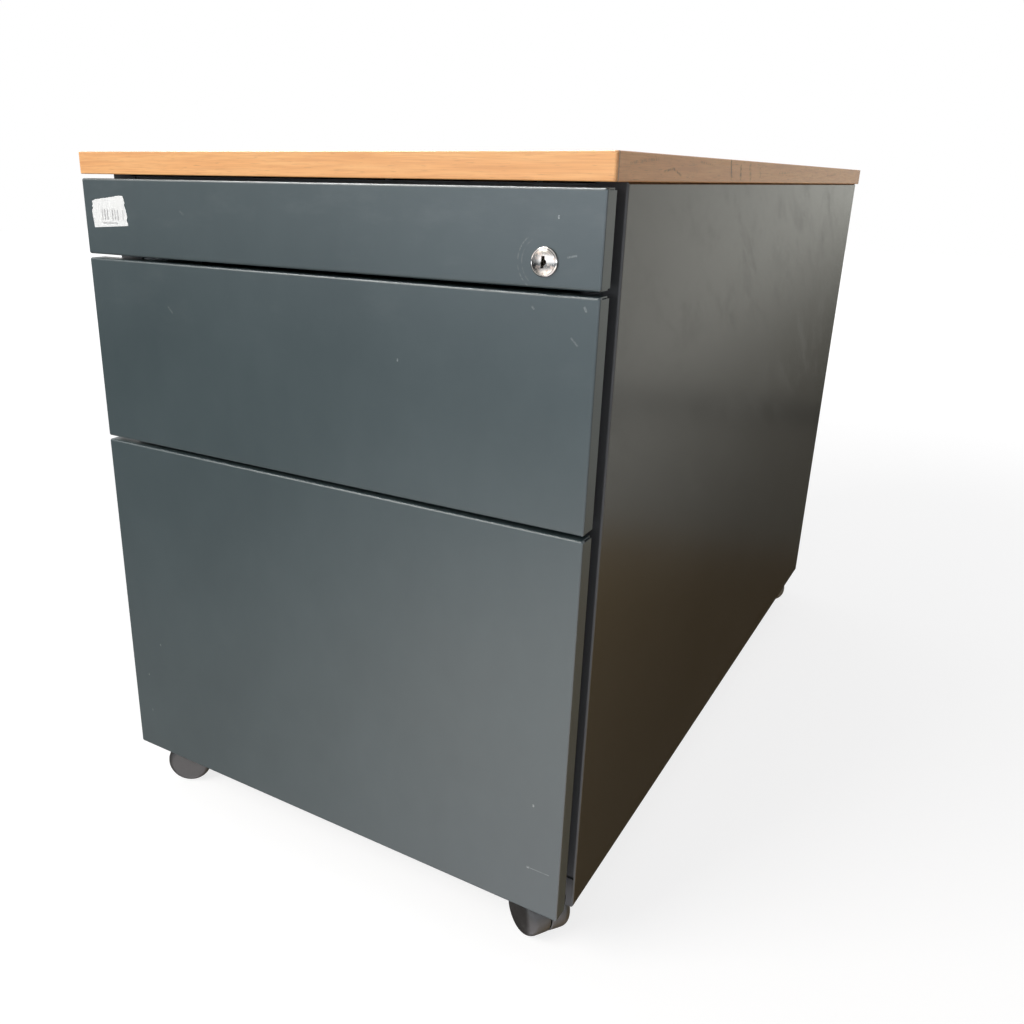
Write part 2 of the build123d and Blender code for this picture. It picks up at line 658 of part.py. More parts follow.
def lock_bar_guides():
    """Two moulded blocks on the right side panel that the bar slides in."""
    front = BAR_Y - GUIDE_CLEARANCE
    back = BAR_Y + BAR_WIDTH + GUIDE_CLEARANCE
    face = BAR_X + BAR_THICK + GUIDE_CLEARANCE
    guides = []
    for level in (FILE_CATCH_Z - BAR_FOOT + GUIDE_HEIGHT, MIDDLE_CATCH_Z + GUIDE_HEIGHT):
        height = (level - GUIDE_HEIGHT / 2, level + GUIDE_HEIGHT / 2)
        guide = block((face, HALF - SHEET), (front - GUIDE_LIP, back + GUIDE_LIP), height)
        for y in (front - GUIDE_LIP, back):
            guide += block((BAR_X - GUIDE_CLEARANCE, face), (y, y + GUIDE_LIP), height)
        guides.append(guide)
    return Compound(guides)


# ---- castors
CASTOR_PLACES = {
    "front_left": (-STEM_X, -STEM_Y),
    "front_right": (STEM_X, -STEM_Y),
    "rear_left": (-STEM_X, STEM_Y),
    "rear_right": (STEM_X, STEM_Y),
}


def castor_screw_places():
    return [
        (x + dx, y + dy)
        for x, y in CASTOR_PLACES.values()
        for dx in (-PLATE_HOLE, PLATE_HOLE)
        for dy in (-PLATE_HOLE, PLATE_HOLE)
    ]


def castor_plates():
    """Four square plates under the base plate, each with its kingpin."""
    plates = []
    for x, y in CASTOR_PLACES.values():
        plate = block((-PLATE_HALF, PLATE_HALF), (-PLATE_HALF, PLATE_HALF), (PLATE_Z, CASTOR_HEIGHT))
        plate = fillet(plate.edges().filter_by(Axis.Z), PLATE_CORNER)
        plate += rod_z(0, 0, (HUB_TOP + BOSS_GAP, PLATE_Z), BOSS_R)
        plate += rod_z(0, 0, (KINGPIN_Z, PLATE_Z), KINGPIN_R)
        for dx in (-PLATE_HOLE, PLATE_HOLE):
            for dy in (-PLATE_HOLE, PLATE_HOLE):
                plate -= rod_z(dx, dy, (PLATE_Z - 1, CASTOR_HEIGHT + 1), SCREW_R)
        plates.append(Pos(x, y, 0) * plate)
    return Compound(plates)


def castor_screws():
    screws = []
    for x, y in castor_screw_places():
        shank = rod_z(x, y, (PLATE_Z, BASE_TOP), SCREW_R)
        screws.append(shank + rod_z(x, y, (PLATE_Z - SCREW_HEAD, PLATE_Z), CASTOR_SCREW_HEAD_R))
    return Compound(screws)


def castor_hood():
    """Hub, web and mudguard of a castor: kingpin at the origin, axle out along +X."""
    guard_r = WHEEL_R + HOOD_CLEARANCE
    half = CASTOR_HALF + HOOD_CLEARANCE
    guard = rod_y(TRAIL, (-half, half), WHEEL_R, guard_r + HOOD_WALL)
    guard &= block((-WHEEL_R, TRAIL + WHEEL_R / 4), (-half, half), (WHEEL_R + 2, 3 * WHEEL_R))
    hood = guard + rod_z(0, 0, (WHEEL_R + HUB_R, HUB_TOP), HUB_R)
    for side in (-1, 1):
        room = (side * WEB / 2, side * (half + 1))
        hood -= rod_y(TRAIL, room, WHEEL_R, guard_r)
    hood += rod_y(TRAIL, (-WEB / 2, WEB / 2), WHEEL_R, WEB_R)
    hood -= rod_y(TRAIL, (-WEB, WEB), WHEEL_R, AXLE_R)
    return hood - rod_z(0, 0, (KINGPIN_Z - BORE_DEEPER, HUB_TOP + 1), KINGPIN_R + RUNNING_CLEARANCE)


def castor_axle():
    reach = CASTOR_HALF - AXLE_SHORT
    return rod_y(TRAIL, (-reach, reach), WHEEL_R, AXLE_R)


def castor_wheel(side):
    inner = side * (WEB / 2 + WHEEL_GAP)
    outer = side * CASTOR_HALF
    wheel = rod_y(TRAIL, (inner, outer), WHEEL_R, WHEEL_R)
    for end, radius in ((-1, WHEEL_ROUND), (0, WHEEL_INNER_ROUND)):
        rims = wheel.edges().filter_by(GeomType.CIRCLE).sort_by(Axis.Y, reverse=side < 0)
        wheel = fillet(rims[end], radius)
    bore = (inner - side, side * (CASTOR_HALF - AXLE_SHORT + WHEEL_GAP))
    return wheel - rod_y(TRAIL, bore, WHEEL_R, AXLE_R + RUNNING_CLEARANCE)


# ---- all nodes
nodes = {
    "top_board": top_board(),
    "edge_band_front": end_band(BOARD_FRONT, BOARD_FRONT + BAND_THICK),
    "edge_band_rear": end_band(REAR_Y, REAR_Y - BAND_THICK),
    "edge_band_right": side_band(),
    "edge_band_left": left_of(side_band()),
    "board_screws": board_screws(),
    "side_panel_right": side_panel(),
    "side_panel_left": left_of(side_panel()),
    "rear_panel": rear_panel(),
    "base_plate": base_plate(),
    "foot_rail": foot_rail(),
    "top_rail_front": top_rail(FLANGE_BACK, FLANGE_BACK + RAIL_WIDTH),
    "top_rail_rear": top_rail(REAR_Y - SHEET - RAIL_WIDTH, REAR_Y - SHEET),
    "slide_posts": slide_posts(),
    "counterweight": counterweight(),
    "lock_bar_guides": lock_bar_guides(),
    "castor_plates": castor_plates(),
    "castor_screws": castor_screws(),
    "pencil_front": pencil_front(),
    "pencil_box": pencil_box(),
    "pencil_tray": pencil_tray(),
    "pencil_front_screws": front_screws(PENCIL_SCREWS),
    "blank_label": label(),
    "lock_housing": lock_housing(),
    "lock_nut": lock_nut(),
    "lock_core": lock_core(),
    "lock_cam": lock_cam(),
    "lock_bar": lock_bar(),
    "middle_front": drill(boxed_front(MIDDLE_Z, MIDDLE_TOP), MIDDLE_SCREWS),
    "middle_box": drawer_box(MIDDLE_FLOOR, MIDDLE_RIM, BOX_BACK, MIDDLE_SCREWS) + catch_pin(MIDDLE_CATCH_Z),
    "middle_dividers": middle_dividers(),
    "middle_front_screws": front_screws(MIDDLE_SCREWS),
    "file_front": drill(boxed_front(FILE_Z, FILE_TOP), FILE_SCREWS),
    "file_box": drawer_box(FILE_FLOOR, FILE_RIM, BOX_BACK, FILE_SCREWS) + catch_pin(FILE_CATCH_Z),
    "hanging_rails": hanging_rails(),
    "file_front_screws": front_screws(FILE_SCREWS),
}

long_slide = (SLIDE_FRONT, SLIDE_BACK)
short_slide = (SLIDE_FRONT, PENCIL_SLIDE_BACK)
runner_half = SLIDE_HEIGHT / 2 - SLIDE_SHEET - 1.5 * BALL_GAP
inner_half = SLIDE_HEIGHT / 2 - 2 * (SLIDE_SHEET + 1.5 * BALL_GAP)
runner_reach = SLIDE_THICK - SLIDE_SHEET - 2
inner_reach = runner_reach - 1 - SLIDE_SHEET
nodes["pencil_slide_rails"] = cabinet_member(PENCIL_SLIDE_HEIGHT, short_slide, PENCIL_SLIDE_Z)
nodes["middle_slide_rails"] = cabinet_member(SLIDE_HEIGHT, long_slide, MIDDLE_SLIDE_Z)
nodes["file_slide_rails"] = cabinet_member(SLIDE_HEIGHT, long_slide, FILE_SLIDE_Z)
nodes["file_slide_links"] = middle_member(long_slide, FILE_SLIDE_Z)
nodes["pencil_slide_runners"] = drawer_member(
    PENCIL_SLIDE_HEIGHT / 2 - SLIDE_SHEET - BALL_GAP, runner_reach, short_slide, PENCIL_SLIDE_Z
)
nodes["middle_slide_runners"] = drawer_member(runner_half, runner_reach, long_slide, MIDDLE_SLIDE_Z)
nodes["file_slide_runners"] = drawer_member(inner_half, inner_reach, long_slide, FILE_SLIDE_Z)

for corner, (stem_x, stem_y) in CASTOR_PLACES.items():
    place = Pos(stem_x, stem_y, 0) * Rot(0, 0, CASTOR_HEADINGS[corner])
    nodes[f"castor_hood_{corner}"] = place * castor_hood()
    nodes[f"castor_axle_{corner}"] = place * castor_axle()
    nodes[f"castor_wheel_a_{corner}"] = place * castor_wheel(1)
    nodes[f"castor_wheel_b_{corner}"] = place * castor_wheel(-1)

for name, shape in nodes.items():
    export_step(shape, f"parts/{name}.step")
print(len(nodes), "nodes")
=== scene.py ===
import bmesh
import bpy
import json
from math import cos, pi, radians, sin
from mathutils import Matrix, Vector


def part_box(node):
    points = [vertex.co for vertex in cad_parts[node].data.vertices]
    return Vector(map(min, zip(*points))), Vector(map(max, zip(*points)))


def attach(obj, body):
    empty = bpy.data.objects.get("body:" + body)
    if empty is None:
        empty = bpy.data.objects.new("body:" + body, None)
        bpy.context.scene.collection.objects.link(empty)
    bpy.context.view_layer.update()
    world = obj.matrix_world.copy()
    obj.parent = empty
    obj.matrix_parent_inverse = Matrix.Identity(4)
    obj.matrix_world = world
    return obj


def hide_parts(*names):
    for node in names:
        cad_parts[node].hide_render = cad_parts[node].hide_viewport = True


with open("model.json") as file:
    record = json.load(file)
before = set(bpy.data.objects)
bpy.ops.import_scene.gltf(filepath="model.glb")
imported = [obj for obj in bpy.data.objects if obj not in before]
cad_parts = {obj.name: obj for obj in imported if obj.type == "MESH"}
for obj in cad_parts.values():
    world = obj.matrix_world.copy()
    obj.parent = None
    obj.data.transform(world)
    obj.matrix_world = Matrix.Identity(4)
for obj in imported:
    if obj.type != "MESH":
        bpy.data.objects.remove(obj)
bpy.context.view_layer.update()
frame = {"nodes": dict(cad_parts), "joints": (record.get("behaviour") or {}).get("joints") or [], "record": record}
NODES = frame["nodes"]


# ---- camera
def make_camera():
    """A wide view at the height of the board, from beyond the right front corner."""
    data = bpy.data.cameras.new("camera")
    data.sensor_width = 36.0
    data.lens = 32.8355
    data.shift_x = 0.07281
    data.shift_y = 0.00153
    camera = bpy.data.objects.new("camera", data)
    camera.location = (0.415762, -0.902010, 0.548101)
    camera.rotation_euler = [radians(angle) for angle in (70.1964, -0.7501, 31.6930)]
    bpy.context.scene.collection.objects.link(camera)
    bpy.context.scene.camera = camera


# ---- shader arithmetic
class Shade:
    """A socket of a finish's node tree, with arithmetic on it."""

    def __init__(self, finish, socket):
        self.finish = finish
        self.socket = socket

    def math(self, operation, *values):
        inputs = dict(enumerate(values))
        return self.finish.node("ShaderNodeMath", {"operation": operation}, inputs)

    def __add__(self, other):
        return self.math("ADD", self, other)

    def __radd__(self, other):
        return self.math("ADD", other, self)

    def __sub__(self, other):
        return self.math("SUBTRACT", self, other)

    def __rsub__(self, other):
        return self.math("SUBTRACT", other, self)

    def __mul__(self, other):
        return self.math("MULTIPLY", self, other)

    def __rmul__(self, other):
        return self.math("MULTIPLY", other, self)

    def __truediv__(self, other):
        return self.math("DIVIDE", self, other)

    def over(self, other):
        """The larger of two values."""
        return self.math("MAXIMUM", self, other)

    def size(self):
        return self.math("ABSOLUTE", self)

    def fade(self, start, end):
        """0 at start and 1 at end, smooth between, and flat beyond them."""
        settings = {"interpolation_type": "SMOOTHSTEP"}
        inputs = {"Value": self, "From Min": start, "From Max": end}
        return self.finish.node("ShaderNodeMapRange", settings, inputs)


class Finish:
    """A material: a Principled shader with constant values, and the nodes that vary over it."""

    def __init__(self, name, **constants):
        self.material = bpy.data.materials.new(name)
        self.material.use_nodes = True
        self.tree = self.material.node_tree
        self.shader = self.tree.nodes["Principled BSDF"]
        for words, value in constants.items():
            self.socket(words).default_value = value
        self.places = self.node("ShaderNodeTexCoord", {}, {}, "Object")

    def socket(self, words):
        """The shader's socket with that name, such as base_color."""
        return self.shader.inputs[words.replace("_", " ").title().replace("Ior", "IOR")]

    def node(self, kind, settings, inputs, output=0):
        """Any node: its settings first, then its sockets' values or links."""
        made = self.tree.nodes.new(kind)
        for key, value in settings.items():
            if key == "stops":
                self.set_stops(made.color_ramp, value)
            else:
                setattr(made, key, value)
        for key, value in inputs.items():
            if isinstance(value, Shade):
                self.tree.links.new(value.socket, made.inputs[key])
            else:
                made.inputs[key].default_value = value
        return Shade(self, made.outputs[output])

    @staticmethod
    def set_stops(ramp, stops):
        while len(ramp.elements) < len(stops):
            ramp.elements.new(1.0)
        for element, (position, colour) in zip(ramp.elements, stops):
            element.position = position
            element.color = (*colour, 1.0)

    def vector(self, operation, *values, output=0):
        settings = {"operation": operation}
        return self.node("ShaderNodeVectorMath", settings, dict(enumerate(values)), output)

    def scaled(self, *factors):
        """The object's places, scaled along each axis."""
        return self.vector("MULTIPLY", self.places, factors)

    def axes(self):
        """The x, y and z of each place."""
        parts = self.node("ShaderNodeSeparateXYZ", {}, {0: self.places})
        return [Shade(self, output) for output in parts.socket.node.outputs]

    def noise(self, places, scale, detail=2.0, roughness=0.5):
        inputs = {"Vector": places, "Scale": scale, "Detail": detail, "Roughness": roughness}
        return self.node("ShaderNodeTexNoise", {}, inputs)

    def blend(self, amount, first, second):
        """first where amount is 0, second where it is 1."""
        colours = [c if isinstance(c, Shade) else (*c, 1.0) for c in (first, second)]
        settings = {"data_type": "RGBA"}
        return self.node("ShaderNodeMix", settings, {0: amount, 6: colours[0], 7: colours[1]}, 2)

    def ramp(self, amount, stops):
        return self.node("ShaderNodeValToRGB", {"stops": stops}, {0: amount})

    def feed(self, **shades):
        """Links shades to the shader's sockets."""
        for words, shade in shades.items():
            self.tree.links.new(shade.socket, self.socket(words))
        return self

    def relief(self, height, depth):
        """A bump of that depth, in metres, into the shader's normal."""
        inputs = {"Strength": 1.0, "Distance": depth, "Height": height}
        return self.feed(normal=self.node("ShaderNodeBump", {}, inputs))

    def stroke(self, across, up, start, end, width):
        """1 along a straight stroke between two points of a face, falling to 0 at its width."""
        point = self.node("ShaderNodeCombineXYZ", {}, {0: across, 1: up})
        run = Vector((*end, 0.0)) - Vector((*start, 0.0))
        offset = self.vector("SUBTRACT", point, (*start, 0.0))
        along = self.vector("DOT_PRODUCT", offset, run / run.length_squared, output=1)
        share = self.node("ShaderNodeClamp", {}, {"Value": along})
        nearest = self.node("ShaderNodeVectorMath", {"operation": "SCALE"}, {0: run, "Scale": share})
        gap = self.vector("DISTANCE", offset, nearest, output=1)
        return gap.fade(width, width * 0.3)

    def ring(self, across, up, centre, radius, width):
        """1 along a circle on a face, falling to 0 at its width."""
        point = self.node("ShaderNodeCombineXYZ", {}, {0: across, 1: up})
        reach = self.vector("DISTANCE", point, (*centre, 0.0), output=1)
        return (reach - radius).size().fade(width, width * 0.3)


# ---- finishes
FRONT_LOW, FRONT_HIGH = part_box("file_front")
LOCK_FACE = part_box("pencil_front")[0].y
LOCK_LOW, LOCK_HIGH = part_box("lock_housing")
LOCK_CENTRE = (LOCK_LOW + LOCK_HIGH) / 2
BOARD_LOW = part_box("edge_band_front")[0]
PANEL_LOW, PANEL_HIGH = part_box("side_panel_right")

# Marks on the drawer fronts: how far in from the front's right edge and up from its lower edge one
# end lies, the way from there to the other end, the width and the strength.
FRONT_MARKS = (
    ("pencil_front", (0.028, 0.039), (0.000, 0.001), 0.0008, 0.95),
    ("pencil_front", (0.021, 0.018), (-0.005, 0.001), 0.0008, 0.40),
    ("pencil_front", (0.325, 0.034), (-0.003, -0.002), 0.0011, 0.12),
    ("middle_front", (0.345, 0.112), (-0.004, -0.004), 0.0009, 0.22),
    ("middle_front", (0.137, 0.094), (0.000, 0.001), 0.0008, 0.60),
    ("middle_front", (0.016, 0.120), (-0.004, -0.004), 0.0008, 0.22),
    ("middle_front", (0.042, 0.136), (-0.001, -0.001), 0.0009, 0.28),
    ("middle_front", (0.009, 0.138), (-0.001, -0.002), 0.0010, 0.38),
    ("file_front", (0.390, 0.112), (0.000, -0.001), 0.0010, 0.38),
    ("file_front", (0.409, 0.077), (0.000, -0.001), 0.0010, 0.32),
    ("file_front", (0.409, 0.040), (0.000, -0.001), 0.0010, 0.32),
    ("file_front", (0.023, 0.092), (0.000, -0.001), 0.0010, 0.70),
    ("file_front", (0.025, 0.038), (-0.001, 0.000), 0.0012, 0.90),
    ("file_front", (0.024, 0.038), (-0.016, 0.000), 0.0005, 0.42),
)
# Arcs left of the lock: radius, width and strength.
KEY_RINGS = (
    (0.0146, 0.0006, 0.14),
    (0.0172, 0.0006, 0.22),
)


def front_powder():
    """Blue-grey satin powder coat with chips, hairlines and the arcs that a key ring leaves."""
    finish = Finish("front_powder_coat", specular_ior_level=0.5)
    x, y, z = finish.axes()
    across = FRONT_HIGH.x - x
    up = z - FRONT_LOW.z
    cloud = finish.noise(finish.places, 9.0, 4.0, 0.55)
    haze = finish.noise(finish.scaled(1.0, 1.0, 0.55), 38.0, 3.0, 0.6)
    colour = finish.ramp(cloud * 0.6 + haze * 0.4, (
        (0.30, (0.048, 0.069, 0.074)),
        (0.52, (0.055, 0.078, 0.083)),
        (0.72, (0.062, 0.086, 0.092)),
    ))
    marks = None
    for front, (inward, upward), (run_in, run_up), width, strength in FRONT_MARKS:
        start = (inward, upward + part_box(front)[0].z - FRONT_LOW.z)
        end = (start[0] + run_in, start[1] + run_up)
        mark = finish.stroke(across, up, start, end, width) * strength
        marks = mark if marks is None else marks.over(mark)
    centre = (FRONT_HIGH.x - LOCK_CENTRE.x, LOCK_CENTRE.z - FRONT_LOW.z)
    leftward = (across - centre[0]).fade(0.006, 0.012)
    broken = finish.noise(finish.places, 260.0, 2.0).fade(0.40, 0.62)
    for radius, width, strength in KEY_RINGS:
        arc = finish.ring(across, up, centre, radius, width) * leftward * broken * strength
        marks = marks.over(arc)
    wiped = finish.noise(finish.scaled(1.0, 1.0, 2.4), 16.0, 5.0, 0.62).fade(0.50, 0.76)
    wiped = wiped * up.fade(0.33, 0.50)
    colour = finish.blend(wiped * 0.10, colour, (0.22, 0.25, 0.26))
    faint = finish.noise(finish.places, 700.0, 3.0, 0.7).fade(0.30, 0.60)
    marks = marks * faint * y.fade(FRONT_LOW.y + 0.002, FRONT_LOW.y)
    colour = finish.blend(marks, colour, (0.42, 0.45, 0.46))
    grain = finish.noise(finish.places, 1500.0, 2.0, 0.55)
    finish.relief(grain + marks * 0.6, 0.00006)
    return finish.feed(base_color=colour, roughness=0.26 + cloud * 0.07)


def carcass_powder():
    """Dark semi-gloss coat with wiped smudges over its upper half."""
    finish = Finish("carcass_powder_coat", specular_ior_level=0.5)
    _, y, z = finish.axes()
    height = z.fade(PANEL_LOW.z, PANEL_HIGH.z)
    cloud = finish.noise(finish.scaled(1.0, 0.5, 1.0), 7.0, 4.0, 0.55)
    turn = {"Vector": finish.places, "Axis": (1, 0, 0), "Angle": 0.5}
    turned = finish.node("ShaderNodeVectorRotate", {}, turn)
    streaks = finish.vector("MULTIPLY", turned, (1.0, 1.0, 4.5))
    wiped = finish.noise(streaks, 11.0, 5.0, 0.65).fade(0.50, 0.70)
    swirl = finish.noise(finish.scaled(1.0, 1.0, 1.6), 15.0, 6.0, 0.7).fade(0.48, 0.66)
    smudge = (wiped * 0.6 + swirl * 0.4) * height.fade(0.35, 0.85)
    colour = finish.ramp(cloud, (
        (0.35, (0.034, 0.031, 0.027)),
        (0.65, (0.042, 0.039, 0.035)),
    ))
    colour = finish.blend(smudge * 0.35, colour, (0.018, 0.019, 0.019))
    # Painted shade: the front face and edge of the panel's front flange sit in the grip gap beside the fronts.
    # They are coloured near black and made rougher.
    painted_gap_shade = y.fade(PANEL_LOW.y + 0.0014, PANEL_LOW.y + 0.0008)
    colour = finish.blend(painted_gap_shade, colour, (0.014, 0.015, 0.016))
    grain = finish.noise(finish.places, 1300.0, 2.0, 0.5)
    finish.relief(grain, 0.00003)
    rough = 0.17 + smudge * 0.09 + cloud * 0.04 + painted_gap_shade * 0.40
    return finish.feed(base_color=colour, roughness=rough)


def box_powder():
    """Matt dark coat of the drawer boxes, with rub marks along the sheets."""
    finish = Finish("box_powder_coat", specular_ior_level=0.4)
    rubbed = finish.noise(finish.scaled(1.0, 0.08, 1.0), 120.0, 4.0, 0.6).fade(0.52, 0.74)
    cloud = finish.noise(finish.places, 12.0, 3.0)
    colour = finish.blend(cloud, (0.030, 0.032, 0.034), (0.048, 0.050, 0.052))
    colour = finish.blend(rubbed * 0.35, colour, (0.11, 0.11, 0.11))
    finish.relief(finish.noise(finish.places, 1100.0, 2.0), 0.00007)
    return finish.feed(base_color=colour, roughness=0.48 + rubbed * 0.12)


def beech(name, along, roughness, scuffs=()):
    """Printed beech: broad wavy bands, fine straight fibres and short dark flecks along the grain."""
    finish = Finish(name, specular_ior_level=0.45, coat_weight=0.15, coat_roughness=0.25)

    def drawn_out(share, across=1.0):
        """Scale factors that draw a pattern out along the grain."""
        return [share if axis == along else across for axis in range(3)]

    warp = finish.noise(finish.scaled(*drawn_out(2.2, 9.0)), 3.0, 3.0)
    shift = finish.vector("MULTIPLY", warp, (0.004, 0.004, 0.004))
    shifted = finish.vector("ADD", finish.places, shift)
    bands = finish.noise(finish.vector("MULTIPLY", shifted, drawn_out(0.045)), 230.0, 3.0, 0.5)
    fibres = finish.noise(finish.scaled(*drawn_out(0.03)), 1150.0, 3.0, 0.6)
    flecks = finish.noise(finish.scaled(*drawn_out(0.06)), 1500.0, 1.0).fade(0.62, 0.74)
    colour = finish.ramp(bands, (
        (0.30, (0.86, 0.400, 0.143)),
        (0.47, (0.97, 0.490, 0.185)),
        (0.60, (1.00, 0.540, 0.215)),
        (0.74, (0.94, 0.460, 0.165)),
    ))
    colour = finish.blend(fibres.fade(0.40, 0.66) * 0.5, colour, (0.80, 0.36, 0.13))
    colour = finish.blend(flecks * 0.40, colour, (0.50, 0.215, 0.080))
    rough = roughness + bands * 0.08
    if scuffs:
        _, y, z = finish.axes()
        back = y - BOARD_LOW.y
        up = z - BOARD_LOW.z
        dirt = None
        for start, (run_back, run_up), width, strength in scuffs:
            end = (start[0] + run_back, start[1] + run_up)
            mark = finish.stroke(back, up, start, end, width) * strength
            dirt = mark if dirt is None else dirt.over(mark)
        joint = y.fade(BOARD_LOW.y + 0.0045, BOARD_LOW.y + 0.0020) * 0.7
        broken = finish.noise(finish.places, 420.0, 3.0, 0.6).fade(0.34, 0.62)
        grime = finish.noise(finish.scaled(1.0, 0.6, 1.0), 45.0, 5.0, 0.7).fade(0.50, 0.78) * 0.16
        colour = finish.blend((dirt * broken).over(grime).over(joint), colour, (0.085, 0.055, 0.050))
        rough = rough + dirt * 0.12
    finish.relief(fibres + flecks * -0.6, 0.00004)
    return finish.feed(base_color=colour, roughness=rough)


# Scuffs on the side edge bands: how far back from the board's front and up from its lower edge one
# end lies, the way from there to the other end, the width and the strength.
BAND_SCUFFS = (
    ((0.222, 0.014), (0.004, -0.010), 0.0030, 0.85),
    ((0.250, 0.011), (0.001, -0.007), 0.0034, 0.62),
    ((0.276, 0.012), (0.004, -0.008), 0.0038, 0.50),
    ((0.307, 0.011), (0.003, -0.005), 0.0028, 0.30),
    ((0.020, 0.010), (0.045, 0.003), 0.0014, 0.30),
    ((0.076, 0.006), (0.018, 0.002), 0.0010, 0.60),
    ((0.094, 0.008), (0.016, -0.004), 0.0010, 0.65),
    ((0.148, 0.013), (0.032, -0.002), 0.0010, 0.25),
    ((0.375, 0.008), (0.040, 0.001), 0.0012, 0.25),
    ((0.590, 0.007), (0.050, 0.003), 0.0016, 0.22),
)


def zinc():
    """Bright zinc plating: soft spangle, fine rolling lines and a dull bloom."""
    finish = Finish("zinc_plate", metallic=1.0)
    spangle = finish.noise(finish.places, 190.0, 4.0, 0.65)
    lines = finish.noise(finish.scaled(1.0, 0.02, 1.0), 1600.0, 2.0)
    bloom = finish.noise(finish.places, 24.0, 3.0).fade(0.48, 0.72)
    colour = finish.blend(spangle, (0.42, 0.43, 0.44), (0.66, 0.67, 0.68))
    colour = finish.blend(bloom * 0.35, colour, (0.48, 0.45, 0.40))
    finish.relief(lines + spangle * 0.5, 0.00002)
    return finish.feed(base_color=colour, roughness=0.26 + spangle * 0.12 + bloom * 0.14)


def chrome(name, tint, wear):
    """Chrome with hairline scratches and blotches of tarnish."""
    finish = Finish(name, metallic=1.0)
    hairs = finish.noise(finish.scaled(1.0, 1.0, 0.12), 2600.0, 3.0, 0.7).fade(0.55, 0.75)
    blotch = finish.noise(finish.places, 420.0, 4.0, 0.65).fade(0.50, 0.70)
    colour = finish.blend(blotch * wear, tint, (0.36, 0.27, 0.22))
    finish.relief(hairs * -1.0 + blotch * 0.4, 0.00002)
    return finish.feed(base_color=colour, roughness=0.15 + hairs * 0.14 + blotch * wear * 0.3)


def steel_slab():
    """Raw rolled steel: mill scale, rust bloom and pits."""
    finish = Finish("rolled_steel", specular_ior_level=0.5)
    scale = finish.noise(finish.places, 60.0, 6.0, 0.65)
    rust = finish.noise(finish.places, 22.0, 5.0, 0.7).fade(0.55, 0.75)
    colour = finish.blend(scale, (0.045, 0.046, 0.050), (0.115, 0.115, 0.120))
    colour = finish.blend(rust * 0.6, colour, (0.17, 0.075, 0.035))
    finish.relief(scale, 0.0003)
    return finish.feed(base_color=colour, roughness=0.50 + rust * 0.35, metallic=0.55 - rust * 0.55)


def plastic(name, colour, dusty, roughness, grain, depth, dust):
    """Moulded plastic with a fine spark-eroded grain and dust where it gathers."""
    finish = Finish(name, specular_ior_level=0.45)
    film = finish.noise(finish.places, 85.0, 5.0, 0.65).fade(0.45, 0.80)
    shade = finish.blend(film * dust, colour, dusty)
    finish.relief(finish.noise(finish.places, grain, 2.0, 0.55), depth)
    return finish.feed(base_color=shade, roughness=roughness + film * 0.18)


STICKER_LOW, STICKER_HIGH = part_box("blank_label")
STICKER_CENTRE = (STICKER_LOW + STICKER_HIGH) / 2
# The sticker's faded strokes, from its centre: how fast they follow one another, the block's middle
# and half size across and up, and the thin line under it.
STROKE_RATE = 2200.0
STROKES_ACROSS = (0.003, 0.0135)
STROKES_UP = (-0.0022, 0.0042)
LINE_UP = (-0.0083, 0.0008)
LINE_HALF = 0.009


def paper():
    """A worn white sticker with a few faded grey strokes and a fibrous surface, glowing faintly in its own colour
    as painted light.
    """
    # The emission strength makes the sticker glow: painted light that brightens it.
    finish = Finish("sticker_paper", specular_ior_level=0.25, emission_strength=0.28)
    x, _, z = finish.axes()
    across = x - STICKER_CENTRE.x
    up = z - STICKER_CENTRE.z
    fibre = finish.noise(finish.places, 900.0, 4.0, 0.6)
    patchy = finish.noise(finish.places, 330.0, 3.0, 0.6).fade(0.40, 0.60)
    groups = finish.noise(finish.scaled(1.0, 0.0, 0.0), 160.0, 1.0).fade(0.42, 0.52)
    wave = across * STROKE_RATE
    comb = wave.math("SINE", wave).fade(0.0, 0.5) * groups
    middle, half = STROKES_ACROSS
    window = (across - middle).size().fade(half, half - 0.001)
    middle, half = STROKES_UP
    height = (up - middle).size().fade(half, half - 0.0006)
    middle, half = LINE_UP
    line = (up - middle).size().fade(half, half / 2) * across.size().fade(LINE_HALF, LINE_HALF - 0.001)
    strokes = (comb * window * height * 0.80).over(line * 0.50) * (patchy * 0.25 + 0.75)
    colour = finish.blend(fibre * 0.4, (1.0, 1.0, 0.99), (0.92, 0.92, 0.91))
    colour = finish.blend(strokes, colour, (0.34, 0.34, 0.35))
    finish.relief(fibre, 0.00006)
    # Painted light: the sticker's own colour also feeds its glow.
    return finish.feed(base_color=colour, emission_color=colour, roughness=0.62 + fibre * 0.2)


# Each plastic's colour, its dusty colour, roughness, grain, grain depth and share of dust.
BLACK = ((0.014, 0.0130, 0.012), (0.060, 0.057, 0.052), 0.40, 1400.0, 0.00008, 0.30)
GREY = ((0.07, 0.07, 0.075), (0.16, 0.16, 0.16), 0.38, 700.0, 0.00012, 0.25)
FINISHES = {
    "front_powder": front_powder(),
    "carcass_powder": carcass_powder(),
    "box_powder": box_powder(),
    "board_face": beech("beech_board_face", 1, 0.40),
    "band_across": beech("beech_band_across", 0, 0.36),
    "band_along": beech("beech_band_along", 1, 0.36, BAND_SCUFFS),
    "zinc": zinc(),
    "chrome": chrome("chrome_bezel", (0.34, 0.325, 0.305), 0.35),
    "brass_core": chrome("chrome_core", (0.32, 0.30, 0.275), 0.70),
    "cast_iron": steel_slab(),
    "black_plastic": plastic("castor_nylon", *BLACK),
    "grey_plastic": plastic("tray_plastic", *GREY),
    "paper": paper(),
}


def finish_for(node, slot):
    """An edge band's grain follows its own length; every other node has its slot's finish."""
    if slot != "edge_band":
        return FINISHES[slot]
    return FINISHES["band_across" if node.endswith(("front", "rear")) else "band_along"]


